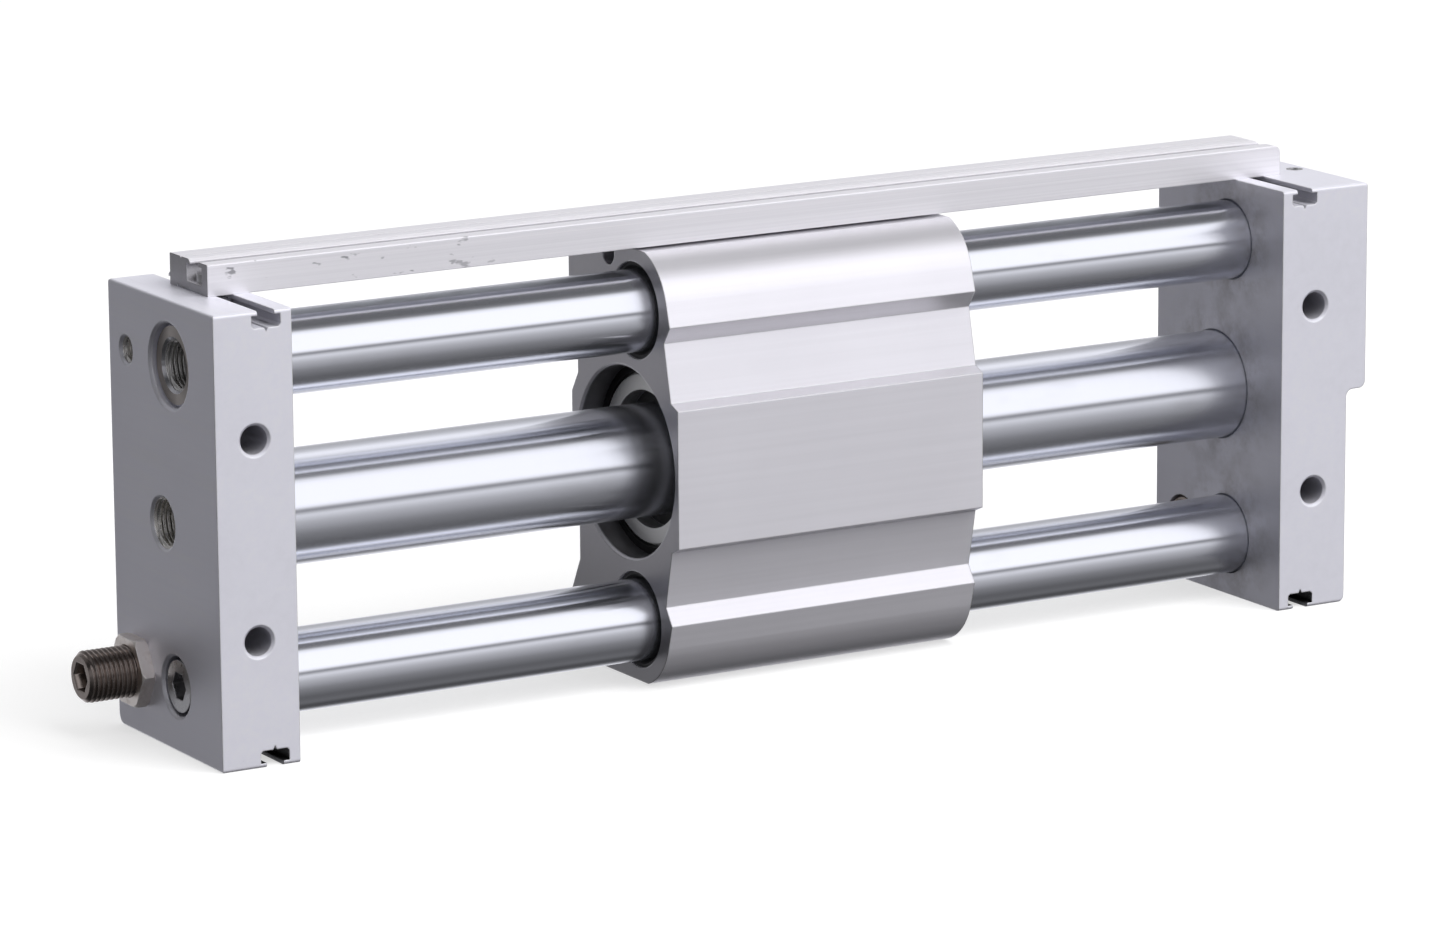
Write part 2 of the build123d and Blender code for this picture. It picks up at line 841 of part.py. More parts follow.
def rail_section():
    """Section of the sensor rail, with its slot open at the top."""
    base = plate_height
    top = base + rail_height
    far = rail_y + rail_width
    mid = rail_y + rail_width / 2
    body = outline([
        (rail_y, base, 0),
        (mid - shield_width / 2, base, 0),
        (mid - shield_width / 2, base + shield_thick, 0),
        (mid + shield_width / 2, base + shield_thick, 0),
        (mid + shield_width / 2, base, 0),
        (far, base, 0),
        (far, top, rail_corner),
        (rail_y + rail_line_inset, top, 0),
        (rail_y + rail_line_inset - rail_line_step, top - rail_line_step, 0),
        (rail_y + rail_line_inset - 2 * rail_line_step, top, 0),
        (rail_y, top, rail_corner),
    ])
    neck = rail_slot_neck / 2
    half = rail_slot_width / 2
    slot = make_face(Polyline(*[(rail_slot_y + across, top - depth) for across, depth in (
        (-neck - rail_lip_bevel, 0),
        (neck + rail_lip_bevel, 0),
        (neck, rail_lip_bevel),
        (neck, rail_slot_lip),
        (half, rail_slot_lip),
        (half, rail_slot_depth),
        (-half, rail_slot_depth),
        (-half, rail_slot_lip),
        (-neck, rail_slot_lip),
        (-neck, rail_lip_bevel),
    )], close=True))
    return body - slot


def rail_screw_x(side):
    """Place of a rail screw, over the T-slot of its end plate."""
    return plate_x(side, slot_inset)


def rail_ends():
    """Places of the sensor rail's two ends along X."""
    return plate_x(PORT, plate_thick - rail_left_inset), plate_x(RETURN, plate_thick - rail_right_inset)


def rail_screw_holes():
    """Clearance holes for the rail's screws."""
    floor = plate_height + rail_height - rail_slot_depth
    hole = rail_screw + 2 * rail_screw_slack
    return [bar_z(hole, plate_height, floor, rail_screw_x(side), rail_slot_y) for side in SIDES]


def sensor_rail():
    """Slotted rail that carries the position switches."""
    left, right = rail_ends()
    top = plate_height + rail_height
    rail = along_x(rail_section(), left, right)
    side_view = outline([
        (left, plate_height, 0),
        (right, plate_height, 0),
        (right, top, rail_end_corner),
        (left, top, 0),
    ])
    rail &= along_y(side_view, rail_y, rail_y + rail_width)
    return rail - rail_screw_holes()


def shield_strip():
    """Steel strip under the rail that shields the switches from the coupling."""
    left, right = rail_ends()
    length = right - left - 2 * shield_end_gap
    strip = Pos((left + right) / 2, rail_y + rail_width / 2, plate_height + shield_thick / 2) * Box(
        length, shield_width, shield_thick)
    return strip - rail_screw_holes()


def rail_screws():
    """Small cap screws through the rail's floor."""
    screws = []
    floor = plate_height + rail_height - rail_slot_depth
    top = floor + rail_screw_head_height
    tip = plate_height - slot_lip - rail_nut_thick - rail_nut_end
    for side in SIDES:
        x = rail_screw_x(side)
        head = bar_z(rail_screw_head, floor, top, x, rail_slot_y)
        shank = bar_z(rail_screw, tip, floor, x, rail_slot_y)
        hexagon = RegularPolygon(rail_screw_socket / 2, 6, major_radius=False)
        socket = extrude(hexagon, rail_screw_socket_depth)
        screws.append(head + shank - Pos(x, rail_slot_y, top - rail_screw_socket_depth) * socket)
    return Compound(screws)


def rail_nuts():
    """Square nuts in the plates' upper T-slots."""
    nuts = []
    top = plate_height - slot_lip
    for side in SIDES:
        x = rail_screw_x(side)
        nut = Box(rail_nut_side, rail_nut_side, rail_nut_thick)
        nut = Pos(x, rail_slot_y, top - rail_nut_thick / 2) * nut
        nuts.append(nut - bar_z(rail_screw, top - rail_nut_thick, top, x, rail_slot_y))
    return Compound(nuts)


PARTS = {
    "port_plate": port_plate,
    "return_plate": return_plate,
    "passage_plug": passage_plug,
    "cylinder_tube": cylinder_tube,
    "hollow_guide_rod": hollow_guide_rod,
    "solid_guide_rod": solid_guide_rod,
    "rod_screws": rod_screws,
    "tube_gaskets": tube_gaskets,
    "rod_gaskets": rod_gaskets,
    "lock_nuts": lock_nuts,
    "sensor_rail": sensor_rail,
    "shield_strip": shield_strip,
    "rail_screws": rail_screws,
    "rail_nuts": rail_nuts,
    "slide_block": slide_block,
    "coupling_sleeve": coupling_sleeve,
    "retaining_rings": retaining_rings,
    "slider_magnets": slider_magnets,
    "slider_yokes": slider_yokes,
    "end_spacers": end_spacers,
    "tube_scrapers": tube_scrapers,
    "slider_wear_rings": slider_wear_rings,
    "rod_bushes": rod_bushes,
    "rod_scrapers": rod_scrapers,
    "switch_magnet": switch_magnet,
    "piston_shaft": piston_shaft,
    "pistons": pistons,
    "piston_seals": piston_seals,
    "piston_guide_rings": piston_guide_rings,
    "piston_nuts": piston_nuts,
    "end_dampers": end_dampers,
}


def main():
    """Write one file for each piece."""
    os.makedirs("parts", exist_ok=True)
    for name, make in PARTS.items():
        export_step(make(), "parts/" + name + ".step")
    for side, word in ((PORT, "left"), (RETURN, "right")):
        export_step(stop_bolt(side), "parts/" + word + "_stop_bolt.step")
        export_step(stop_pad(side), "parts/" + word + "_stop_pad.step")
    inner_magnets = magnet_stack(inner_magnet, shaft_thread)
    inner_yokes = yoke_stack(inner_yoke, shaft_thread)
    export_step(inner_magnets, "parts/piston_magnets.step")
    export_step(inner_yokes, "parts/piston_yokes.step")


main()
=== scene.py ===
import json
from collections import namedtuple
from functools import reduce
from math import cos, pi, radians, sin, tau

import bpy
from mathutils import Matrix, Vector


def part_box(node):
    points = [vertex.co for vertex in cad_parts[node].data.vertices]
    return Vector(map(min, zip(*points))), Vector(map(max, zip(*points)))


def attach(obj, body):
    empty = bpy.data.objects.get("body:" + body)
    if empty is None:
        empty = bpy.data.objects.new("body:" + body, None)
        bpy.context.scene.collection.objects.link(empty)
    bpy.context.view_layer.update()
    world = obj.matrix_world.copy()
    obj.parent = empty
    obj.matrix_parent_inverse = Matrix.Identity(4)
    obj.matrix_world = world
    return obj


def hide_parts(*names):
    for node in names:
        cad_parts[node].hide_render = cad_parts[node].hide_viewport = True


# Looks of a guided magnetic rodless cylinder, in metres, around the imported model.
# X runs along the stroke, Y from the mounting face to the load face, Z up.

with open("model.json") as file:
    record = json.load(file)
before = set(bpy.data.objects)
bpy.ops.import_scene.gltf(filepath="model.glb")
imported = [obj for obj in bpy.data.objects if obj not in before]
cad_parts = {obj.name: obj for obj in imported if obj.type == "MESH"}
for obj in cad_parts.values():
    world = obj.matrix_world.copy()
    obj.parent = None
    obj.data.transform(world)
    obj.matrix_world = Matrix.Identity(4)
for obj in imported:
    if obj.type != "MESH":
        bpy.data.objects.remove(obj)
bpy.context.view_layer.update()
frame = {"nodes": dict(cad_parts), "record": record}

MM = 0.001
Thread = namedtuple("Thread", "crest root pitch")

# Camera, from the photograph's viewing angle, in degrees and metres, with its lens in mm
VIEW_AZIMUTH = -30.535
VIEW_ELEVATION = 12.513
VIEW_ROLL = -0.381
VIEW_DISTANCE = 1.2977
VIEW_AIM = Vector((-0.00558, 0.0, 0.03909))
VIEW_LENS = 165.07
SENSOR_WIDTH = 36.0
VIEW_CLIP = 50.0

# Studio seen in the metal: brightness by the angle above the front horizon, in degrees
STUDIO = [
    (-180, 1.00), (-150, 1.00), (-138, 0.60), (-124, 0.10), (-108, 0.06), (-92, 0.16), (-80, 0.13),
    (-70, 0.12), (-45, 0.23), (-20, 0.50), (-7, 0.78), (-2, 0.50), (1, 0.28), (4, 0.36), (9, 1.00),
    (14, 1.15), (55, 1.15), (63, 0.95), (69, 0.28), (78, 0.14), (97, 0.14), (104, 0.20), (113, 0.74),
    (127, 1.10), (142, 0.62), (158, 0.45), (172, 0.55), (180, 0.95),
]
STUDIO_TINT = (0.985, 0.985, 1.03)
STUDIO_LEFT_LEVEL = 0.27

# Soft light on matt surfaces, and the share of it that comes from the left and from low down
SOFT_LIGHT = 0.88
SOFT_LEFT_LEVEL = 0.15
SOFT_LOW_LEVEL = 0.22
LEFT_FADE = (-0.05, -0.50)
LOW_FADE = (0.0, 0.9)

KEY_POWER = 46.0
KEY_SIZE = 1.8
KEY_PLACE = Vector((0.55, -1.45, 1.6))

# Floor: its colour, what it adds in white to the eye, and what little it throws back on the object
FLOOR_SIZE = 14.0
FLOOR_SEEN = (0.55, 0.55, 0.55)
FLOOR_GLOW = 0.60
FLOOR_BOUNCE = (0.06, 0.06, 0.063)

# Threads as crest radius, root radius and pitch
BOLT_THREAD = Thread(5.0 * MM, 4.42 * MM, 1.0 * MM)
PORT_THREAD = Thread(4.865 * MM, 4.283 * MM, 0.907 * MM)
M5_THREAD = Thread(2.5 * MM, 2.07 * MM, 0.8 * MM)
FLANK_SLOPE = 1.3
ROOT_FLAT = 0.12
STEPS_ROUND = 72
STEPS_PER_PITCH = 8
CREASE = 40.0

# Stop bolts: bevel at both ends, the seat of the pad in the nose, and the hexagon socket in the tail
BOLT_BEVEL = 0.9 * MM
TAIL_LIP = 0.1 * MM
SEAT_DEPTH = 4.0 * MM
SEAT_RADII = (0.2 * MM, 1.5 * MM, 3.05 * MM)
SOCKET_MOUTH = 5.5 * MM
SOCKET_FLATS = 5.0 * MM
SOCKET_CHAMFER = 0.3 * MM
SOCKET_WALL = 4.6 * MM
SOCKET_DEPTH = 5.0 * MM
SOCKET_TIP = 0.3 * MM

# Tapped holes: how far the ridges reach into the wall, and how they rise behind the mouth
TAP_BURIED = 0.12 * MM
TAP_LAND = 0.1 * MM
TAP_LEAD = 0.5 * MM
TAP_CLEARANCE = 0.01 * MM
MOUTH_BEVEL = 0.5 * MM
LOAD_THREAD_DEPTH = 9.0 * MM

# Grease and painted shade round the joints on the plates' inner faces: how far these lie from the middle, and
# Y, Z and radius of what they creep round, the rods and the tube
INNER_FACE = 111.0 * MM
GREASED_AND_SHADED_JOINTS = [(-3.25 * MM, 73.5 * MM, 8 * MM), (0.75 * MM, 43 * MM, 11 * MM), (-3.25 * MM, 12.5 * MM, 8 * MM)]
GREASE_AND_SHADE_REACH = 11 * MM
GREASE_AND_SHADE = (0.20, 0.17, 0.13)

# Painted shade elsewhere: the block's middle bore, the heights between which the painted shade on its end
# faces lightens, the top of the plates' lower slots, and how deep a mark on a face reaches
BORE_AXIS = (0.75 * MM, 43 * MM)
BORE_RADIUS = 18.76 * MM
END_SHADE_HEIGHTS = (16.0 * MM, 36.0 * MM)
LOWER_SLOT_TOP = (4.6 * MM, 5.2 * MM)
SKIN = 0.2 * MM

# Scuffs on the rail lie left of these places along X and in front of these along Y
SCUFFS_LEFT_OF = (-45.0 * MM, -75.0 * MM)
SCUFFS_BEFORE = (-4.8 * MM, -5.3 * MM)


class Graph:
    """Short way to build a tree of shader nodes."""

    def __init__(self, tree):
        self.tree = tree
        tree.nodes.clear()

    def add(self, kind, settings=None, inputs=None):
        """New node with its settings, and with its inputs set or linked."""
        node = self.tree.nodes.new("ShaderNode" + kind)
        for key, value in (settings or {}).items():
            setattr(node, key, value)
        for key, value in (inputs or {}).items():
            self.put(node.inputs[key], value)
        return node

    def put(self, socket, value):
        """Link an output to a socket, or set the socket to a value."""
        if isinstance(value, bpy.types.NodeSocket):
            self.tree.links.new(value, socket)
        else:
            socket.default_value = value

    def math(self, operation, *values):
        return self.add("Math", {"operation": operation}, dict(enumerate(values))).outputs[0]

    def plus(self, *values):
        return reduce(lambda one, two: self.math("ADD", one, two), values)

    def minus(self, one, two):
        return self.math("SUBTRACT", one, two)

    def times(self, *values):
        return reduce(lambda one, two: self.math("MULTIPLY", one, two), values)

    def largest(self, *values):
        return reduce(lambda one, two: self.math("MAXIMUM", one, two), values)

    def between(self, value, low, high, out_low=0.0, out_high=1.0):
        """Value moved from the range low to high into another one, and held inside it."""
        inputs = {"Value": value, "From Min": low, "From Max": high, "To Min": out_low, "To Max": out_high}
        return self.add("MapRange", {"clamp": True}, inputs).outputs["Result"]

    def ramp(self, factor, stops):
        """Grey level along stops of place and level."""
        node = self.add("ValToRGB", None, {"Fac": factor})
        elements = node.color_ramp.elements
        while len(elements) < len(stops):
            elements.new(0.5)
        for element, (place, level) in zip(elements, stops):
            element.position = place
            element.color = (level, level, level, 1)
        return node.outputs["Color"]

    def noise(self, vector, scale, detail, roughness):
        inputs = {"Vector": vector, "Scale": scale, "Detail": detail, "Roughness": roughness}
        return self.add("TexNoise", None, inputs).outputs["Fac"]

    def drawn(self, vector, scales, detail, roughness):
        """Noise with its own scale along each axis, for drawn lines and turning marks."""
        stretched = self.add("Mapping", None, {"Vector": vector, "Scale": scales}).outputs["Vector"]
        return self.noise(stretched, 1.0, detail, roughness)

    def mix(self, factor, one, two):
        """Colour between two others, each an output or three numbers."""
        node = self.add("Mix", {"data_type": "RGBA"}, {0: factor})
        for index, colour in ((6, one), (7, two)):
            self.put(node.inputs[index], (*colour, 1) if isinstance(colour, tuple) else colour)
        return node.outputs[2]

    def scaled(self, colour, factor):
        return self.add("VectorMath", {"operation": "SCALE"}, {0: colour, "Scale": factor}).outputs["Vector"]

    def split(self, vector):
        """Outputs X, Y and Z of a vector."""
        return self.add("SeparateXYZ", None, {0: vector}).outputs

    def off_axis(self, place, y, z):
        """Distance from the line along X at Y and Z."""
        axis = self.split(place)
        across, rise = self.minus(axis["Y"], y), self.minus(axis["Z"], z)
        return self.math("SQRT", self.plus(self.times(across, across), self.times(rise, rise)))

    def end_faces(self):
        """1 on faces square to X, and 0 on those along it."""
        normal = self.split(self.add("TexCoord").outputs["Normal"])
        return self.between(self.math("ABSOLUTE", normal["X"]), 0.6, 0.9)

    def rounded(self, radius):
        """Normal of the surface with its edges rounded."""
        return self.add("Bevel", {"samples": 6}, {"Radius": radius}).outputs["Normal"]

    def worn_and_highlit_edges(self, radius):
        """1 on sharp edges, and 0 on flat faces."""
        flat = self.add("NewGeometry").outputs["Normal"]
        product = self.add("VectorMath", {"operation": "DOT_PRODUCT"}, {0: self.rounded(radius), 1: flat})
        return self.between(product.outputs["Value"], 0.995, 0.80)

    def openness(self, reach):
        """1 in the open, and less in holes, slots and recesses of the same piece."""
        settings = {"samples": 6, "only_local": True}
        return self.add("AmbientOcclusion", settings, {"Distance": reach}).outputs["AO"]


def new_material(name):
    """Empty material with its graph, its shader and its object coordinates."""
    material = bpy.data.materials.new(name)
    material.use_nodes = True
    graph = Graph(material.node_tree)
    shader = graph.add("BsdfPrincipled")
    graph.add("OutputMaterial", None, {"Surface": shader.outputs[0]})
    place = graph.add("TexCoord").outputs["Object"]
    return material, graph, shader, place


def bumped(graph, shader, height, strength, distance, edge=0.0):
    """Give a shader a bump, over edges rounded by a small radius."""
    inputs = {"Height": height, "Strength": strength, "Distance": distance}
    if edge:
        inputs["Normal"] = graph.rounded(edge)
    graph.put(shader.inputs["Normal"], graph.add("Bump", None, inputs).outputs["Normal"])


def brighter(colour, factor, lift=0.0):
    """Lighter tone of a colour, for its worn edges with their painted highlight, and its dust."""
    return tuple(min(1.0, factor * part + lift) for part in colour)


def unshaded_share(graph, openness, darkest):
    """Brightness left by painted shade: the darkest in recesses, and 1 in the open."""
    return graph.between(openness, 0.25, 0.72, darkest, 1.0)


def recess_shade(graph, _place, colour, reach=12 * MM, darkest=0.34):
    """Colour of a piece with painted shade in its recesses."""
    return graph.scaled(colour, unshaded_share(graph, graph.openness(reach), darkest))


def plate_grease_and_shade(graph, place, colour):
    """Colour of the plates: grease and painted shade round the rods on their inner faces, painted shade in
    recesses, and the lower slots painted nearly black as shade.
    """
    axis = graph.split(place)
    inner_face = graph.between(graph.math("ABSOLUTE", axis["X"]), INNER_FACE, INNER_FACE + SKIN, 1.0, 0.0)
    # Darker patches round the rods: partly grease, partly painted shade where the rods meet the plates.
    rings = [
        graph.between(graph.off_axis(place, y, z), radius, radius + GREASE_AND_SHADE_REACH, 1.0, 0.0)
        for y, z, radius in GREASED_AND_SHADED_JOINTS
    ]
    patches = graph.between(graph.noise(place, 170.0, detail=5.0, roughness=0.65), 0.40, 0.66)
    greasy_and_shaded = graph.mix(graph.times(inner_face, graph.largest(*rings), patches, 0.45), colour, GREASE_AND_SHADE)
    # Painted shade: darker in recesses, and the lower slots nearly black.
    openness = graph.openness(7 * MM)
    unshaded_level = unshaded_share(graph, openness, 0.5)
    low_down = graph.between(axis["Z"], *LOWER_SLOT_TOP, 1.0, 0.0)
    slot_shade = graph.math("MINIMUM", unshaded_level, graph.between(openness, 0.62, 0.93, 0.03, 1.0))
    return graph.scaled(greasy_and_shaded, graph.minus(unshaded_level, graph.times(low_down, graph.minus(unshaded_level, slot_shade))))


def block_shade(graph, place, colour):
    """Colour of the block: painted shade in its middle bore, in its recesses, and on its end faces, deepest
    near their foot.
    """
    # Painted shade: the middle bore darkened, and both end faces darkened, deepest towards their foot.
    bore_shade = graph.between(graph.off_axis(place, *BORE_AXIS), BORE_RADIUS, BORE_RADIUS + SKIN, 0.28, 1.0)
    end_unshaded_level = graph.between(graph.split(place)["Z"], *END_SHADE_HEIGHTS, 0.43, 0.66)
    end_shade = graph.times(graph.end_faces(), graph.minus(1.0, end_unshaded_level))
    return recess_shade(graph, place, graph.scaled(colour, graph.times(bore_shade, graph.minus(1.0, end_shade))))


def satin_aluminium(name, colour, grain_scale, lines, rough, edge, metallic, soiled):
    """Anodised or turned aluminium: matt grain, drawn lines along one way, brighter worn edges that are
    partly a painted highlight, and painted shade in recesses, with grease on the plates.
    """
    material, graph, shader, place = new_material(name)
    grain = graph.noise(place, grain_scale, detail=2.0, roughness=0.6)
    streaks = graph.drawn(place, lines, detail=4.0, roughness=0.6)
    clouds = graph.noise(place, 40.0, detail=3.0, roughness=0.5)
    worn_and_highlit = graph.worn_and_highlit_edges(edge)
    uneven = graph.plus(
        graph.between(clouds, 0.3, 0.7, -0.02, 0.02),
        graph.between(streaks, 0.2, 0.8, -0.03, 0.03))
    base = graph.scaled(colour, graph.plus(1.0, uneven))
    # Brighter edges: partly wear, partly a painted highlight.
    base = graph.mix(graph.times(worn_and_highlit, 0.8), base, brighter(colour, 1.18))
    # Painted shade in recesses from the function passed in, with grease on the plates.
    graph.put(shader.inputs["Base Color"], soiled(graph, place, base))
    shader.inputs["Metallic"].default_value = metallic
    varied = graph.plus(
        graph.between(streaks, 0.2, 0.8, -0.04, 0.04),
        graph.between(grain, 0.3, 0.7, -0.03, 0.03))
    graph.put(shader.inputs["Roughness"], graph.plus(rough, varied, graph.times(worn_and_highlit, -0.12)))
    height = graph.plus(graph.times(grain, 0.6), graph.times(streaks, 0.5))
    bumped(graph, shader, height, 0.35, 0.04 * MM, edge)
    return material


def milled_rail(name, edge):
    """Bright aluminium with drawn lines, sawn ends darkened as painted shade, and dark scuffs on the front of
    its left third.
    """
    material, graph, shader, place = new_material(name)
    lines = graph.drawn(place, (6.0, 1800.0, 1800.0), detail=4.0, roughness=0.65)
    fine = graph.drawn(place, (120.0, 5000.0, 5000.0), detail=2.0, roughness=0.5)
    blots = graph.between(graph.drawn(place, (170.0, 420.0, 420.0), detail=3.0, roughness=0.6), 0.63, 0.68)
    axis = graph.split(place)
    left, front = graph.between(axis["X"], *SCUFFS_LEFT_OF), graph.between(axis["Y"], *SCUFFS_BEFORE)
    scuffs = graph.times(blots, left, front)
    shade = graph.between(lines, 0.25, 0.75, 0.87, 0.99)
    tones = {"Red": shade, "Green": graph.plus(shade, -0.015), "Blue": graph.plus(shade, 0.03)}
    base = graph.add("CombineColor", None, tones).outputs["Color"]
    base = graph.mix(graph.times(scuffs, 0.75), base, (0.22, 0.22, 0.24))
    # Brighter edges: partly wear, partly a painted highlight.
    base = graph.mix(graph.times(graph.worn_and_highlit_edges(edge), 0.5), base, (0.97, 0.97, 0.97))
    # Painted shade: end faces darkened.
    base = graph.scaled(base, graph.between(graph.end_faces(), 0.0, 1.0, 1.0, 0.42))
    # Painted shade: darker in recesses.
    graph.put(shader.inputs["Base Color"], recess_shade(graph, place, base, 4 * MM, 0.20))
    shader.inputs["Metallic"].default_value = 0.45
    graph.put(shader.inputs["Roughness"], graph.between(fine, 0.3, 0.7, 0.30, 0.40))
    height = graph.minus(graph.plus(lines, graph.times(fine, 0.5)), scuffs)
    bumped(graph, shader, height, 0.4, 0.05 * MM, edge)
    return material


def mirror_metal(name, colour, rough, ring_scale, smudge):
    """Polished round stock along X: fine rings that draw its reflections out, a little haze, turned ends."""
    material, graph, shader, place = new_material(name)
    rings = graph.drawn(place, (ring_scale, 30.0, 30.0), detail=3.0, roughness=0.6)
    haze = graph.between(graph.drawn(place, (35.0, 90.0, 90.0), detail=4.0, roughness=0.6), 0.58, 0.72)
    turned_end = graph.end_faces()
    base = graph.mix(graph.times(haze, 0.12), colour, (0.70, 0.69, 0.67))
    graph.put(shader.inputs["Base Color"], graph.mix(turned_end, base, (0.34, 0.31, 0.29)))
    shader.inputs["Metallic"].default_value = 1.0
    spread = graph.plus(graph.between(rings, 0.3, 0.7, 0.0, 0.02), graph.times(haze, smudge))
    graph.put(shader.inputs["Roughness"], graph.plus(rough, spread, graph.times(turned_end, 0.15)))
    shader.inputs["Anisotropic"].default_value = 1.0
    shader.inputs["Anisotropic Rotation"].default_value = 0.25
    round_x = graph.add("Tangent", {"direction_type": "RADIAL", "axis": "X"})
    graph.put(shader.inputs["Tangent"], round_x.outputs["Tangent"])
    bumped(graph, shader, rings, 0.05, 0.01 * MM)
    return material


def plated_steel(name, colour, stain, rough, marks, edge):
    """Plated or turned metal: turning marks, a few dull stains, and bright edges that are partly a painted
    highlight.
    """
    material, graph, shader, place = new_material(name)
    turning = graph.drawn(place, (marks, marks * 0.2, marks * 0.2), detail=3.0, roughness=0.6)
    dull = graph.between(graph.noise(place, 320.0, detail=4.0, roughness=0.6), 0.50, 0.68)
    base = graph.mix(graph.times(dull, 0.55), colour, stain)
    # Brighter edges: partly wear, partly a painted highlight.
    base = graph.mix(graph.times(graph.worn_and_highlit_edges(edge), 0.8), base, brighter(colour, 1.35, 0.05))
    graph.put(shader.inputs["Base Color"], base)
    shader.inputs["Metallic"].default_value = 1.0
    uneven = graph.between(turning, 0.3, 0.7, -0.03, 0.03)
    graph.put(shader.inputs["Roughness"], graph.plus(rough, graph.times(dull, 0.12), uneven))
    bumped(graph, shader, turning, 0.25, 0.02 * MM, edge)
    return material


def soft_polymer(name, colour, rough, mottle_scale, sheen):
    """Rubber, urethane or filled resin: matt, finely mottled and a little dusty."""
    material, graph, shader, place = new_material(name)
    mottle = graph.noise(place, mottle_scale, detail=4.0, roughness=0.6)
    dust = graph.between(graph.noise(place, 260.0, detail=3.0, roughness=0.6), 0.52, 0.75)
    base = graph.mix(graph.times(dust, 0.5), colour, brighter(colour, 1.0, 0.06))
    graph.put(shader.inputs["Base Color"], base)
    graph.put(shader.inputs["Roughness"], graph.between(mottle, 0.3, 0.7, rough - 0.06, rough + 0.06))
    shader.inputs["Sheen Weight"].default_value = sheen
    bumped(graph, shader, mottle, 0.3, 0.03 * MM)
    return material


def make_materials():
    """One material for each slot of the record, and three more for the threads."""
    # The last value of each aluminium finish paints shade into its recesses; the plates also get grease, the
    # block painted shade in its bore and on its end faces.
    aluminium = {
        "anodised_plate": dict(
            colour=(0.92, 0.915, 0.995), grain_scale=2600.0, lines=(500.0, 20.0, 500.0),
            rough=0.45, edge=0.4 * MM, metallic=0.45, soiled=plate_grease_and_shade),
        "anodised_block": dict(
            colour=(0.90, 0.885, 0.93), grain_scale=3200.0, lines=(12.0, 900.0, 900.0),
            rough=0.35, edge=0.4 * MM, metallic=0.68, soiled=block_shade),
        "turned_aluminium": dict(
            colour=(0.86, 0.86, 0.85), grain_scale=1800.0, lines=(2500.0, 60.0, 60.0),
            rough=0.36, edge=0.3 * MM, metallic=0.8, soiled=recess_shade),
    }
    mirrors = {
        "hard_chrome": dict(colour=(0.86, 0.875, 0.93), rough=0.155, ring_scale=4000.0, smudge=0.05),
        "stainless_tube": dict(colour=(0.85, 0.865, 0.92), rough=0.17, ring_scale=2500.0, smudge=0.06),
    }
    # Colour, colour of the stains, roughness, turning marks per metre, and radius of the worn edges with
    # their painted highlight
    plated = {
        "nickel_plate": ((1.0, 0.94, 0.89), (0.66, 0.59, 0.53), 0.38, 3000.0, 0.2 * MM),
        "zinc_screw": ((0.52, 0.52, 0.53), (0.26, 0.25, 0.24), 0.28, 2500.0, 0.3 * MM),
        "blackened_steel": ((0.035, 0.035, 0.035), (0.015, 0.015, 0.015), 0.42, 2000.0, 0.2 * MM),
        "shield_steel": ((0.44, 0.45, 0.46), (0.28, 0.26, 0.24), 0.38, 1500.0, 0.3 * MM),
        "magnet": ((0.33, 0.33, 0.34), (0.22, 0.22, 0.22), 0.34, 1500.0, 0.3 * MM),
        "bolt_steel": ((0.33, 0.285, 0.26), (0.15, 0.12, 0.10), 0.20, 3000.0, 0.2 * MM),
        "turned_steel": ((0.80, 0.79, 0.77), (0.50, 0.48, 0.45), 0.22, 2500.0, 0.2 * MM),
        "cut_aluminium": ((0.93, 0.91, 0.87), (0.62, 0.59, 0.55), 0.24, 2500.0, 0.2 * MM),
    }
    # Colour, roughness, mottling per metre and sheen
    polymers = {
        "seal_rubber": ((0.018, 0.018, 0.019), 0.55, 2200.0, 0.1),
        "bearing_resin": ((0.075, 0.065, 0.055), 0.48, 2600.0, 0.0),
        "urethane": ((0.16, 0.12, 0.08), 0.50, 1800.0, 0.1),
    }
    materials = {"milled_rail": milled_rail("milled_rail", 0.3 * MM)}
    for name, values in aluminium.items():
        materials[name] = satin_aluminium(name, **values)
    for name, values in mirrors.items():
        materials[name] = mirror_metal(name, **values)
    for name, values in plated.items():
        materials[name] = plated_steel(name, *values)
    for name, values in polymers.items():
        materials[name] = soft_polymer(name, *values)
    return materials


def dress_nodes(materials):
    """Put each node's material on it, by the record's slots."""
    for entry in frame["record"]["subparts"]:
        mesh = frame["nodes"][entry["node"]].data
        mesh.materials.clear()
        mesh.materials.append(materials[entry["material_slot"]])


def new_object(name, data):
    """New object in the scene."""
    new = bpy.data.objects.new(name, data)
    bpy.context.scene.collection.objects.link(new)
    return new


def ring_surface(name, rings, closed_round, material):
    """Mesh through rings of points. It closes on itself, or ends in a point at both ends."""
    count = len(rings[0])
    points = [point for ring in rings for point in ring]
    faces = []
    for index in range(len(rings) if closed_round else len(rings) - 1):
        here = index * count
        there = (index + 1) % len(rings) * count
        for step in range(count):
            after = (step + 1) % count
            faces.append((here + step, here + after, there + after, there + step))
    if not closed_round:
        for ring, flip in ((0, True), (len(rings) - 1, False)):
            points.append(sum(rings[ring], Vector()) / count)
            for step in range(count):
                corners = (ring * count + step, ring * count + (step + 1) % count, len(points) - 1)
                faces.append(corners[::-1] if flip else corners)
    mesh = bpy.data.meshes.new(name)
    mesh.from_pydata(points, [], faces)
    mesh.validate()
    mesh.materials.append(material)
    return new_object(name, mesh)


def circle(x, radius):
    """Ring of points round X. radius is a number, or a function of the angle."""
    reach = radius if callable(radius) else lambda angle: radius
    angles = [tau * step / STEPS_ROUND for step in range(STEPS_ROUND)]
    return [Vector((x, reach(angle) * cos(angle), reach(angle) * sin(angle))) for angle in angles]


def hexagon(flats):
    """Radius of a hexagon at an angle, for circle()."""
    return lambda angle: flats / 2 / cos(angle % (pi / 3) - pi / 6)


